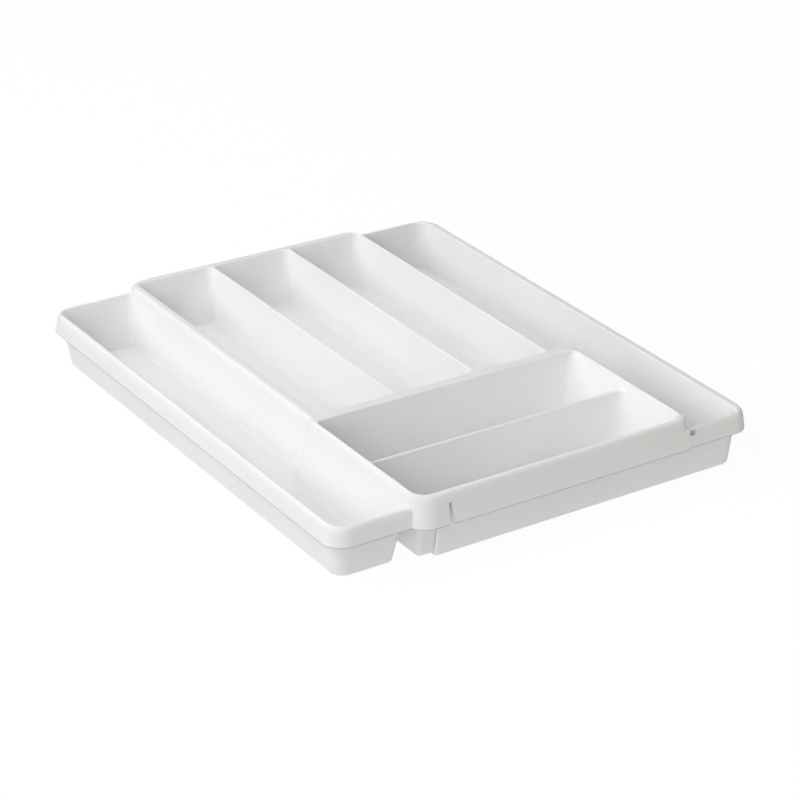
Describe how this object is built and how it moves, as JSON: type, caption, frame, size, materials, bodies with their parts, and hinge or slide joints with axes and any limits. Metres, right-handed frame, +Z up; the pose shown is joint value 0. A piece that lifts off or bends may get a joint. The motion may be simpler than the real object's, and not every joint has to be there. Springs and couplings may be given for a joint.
{
  "type": "expandable cutlery tray",
  "caption": "White plastic cutlery tray with long and cross compartments, widened by a sliding base tray.",
  "frame": {"origin": "middle of the closed tray's outline, on the surface that it stands on", "axes": "+X to the right, the way the base tray slides out; -Y is the front with the raised box; +Z up"},
  "size_m": [0.35, 0.4, 0.0503],
  "materials": {
    "upper_plastic": "satin",
    "base_plastic": "satin"
  },
  "bodies": {
    "upper": {"upper_tray": "upper_plastic"},
    "base": {"base_tray": "base_plastic"}
  },
  "joints": [
    {"name": "extend", "type": "slide", "parent": "upper", "child": "base", "axis": [1, 0, 0], "range_m": [0, 0.14]}
  ]
}
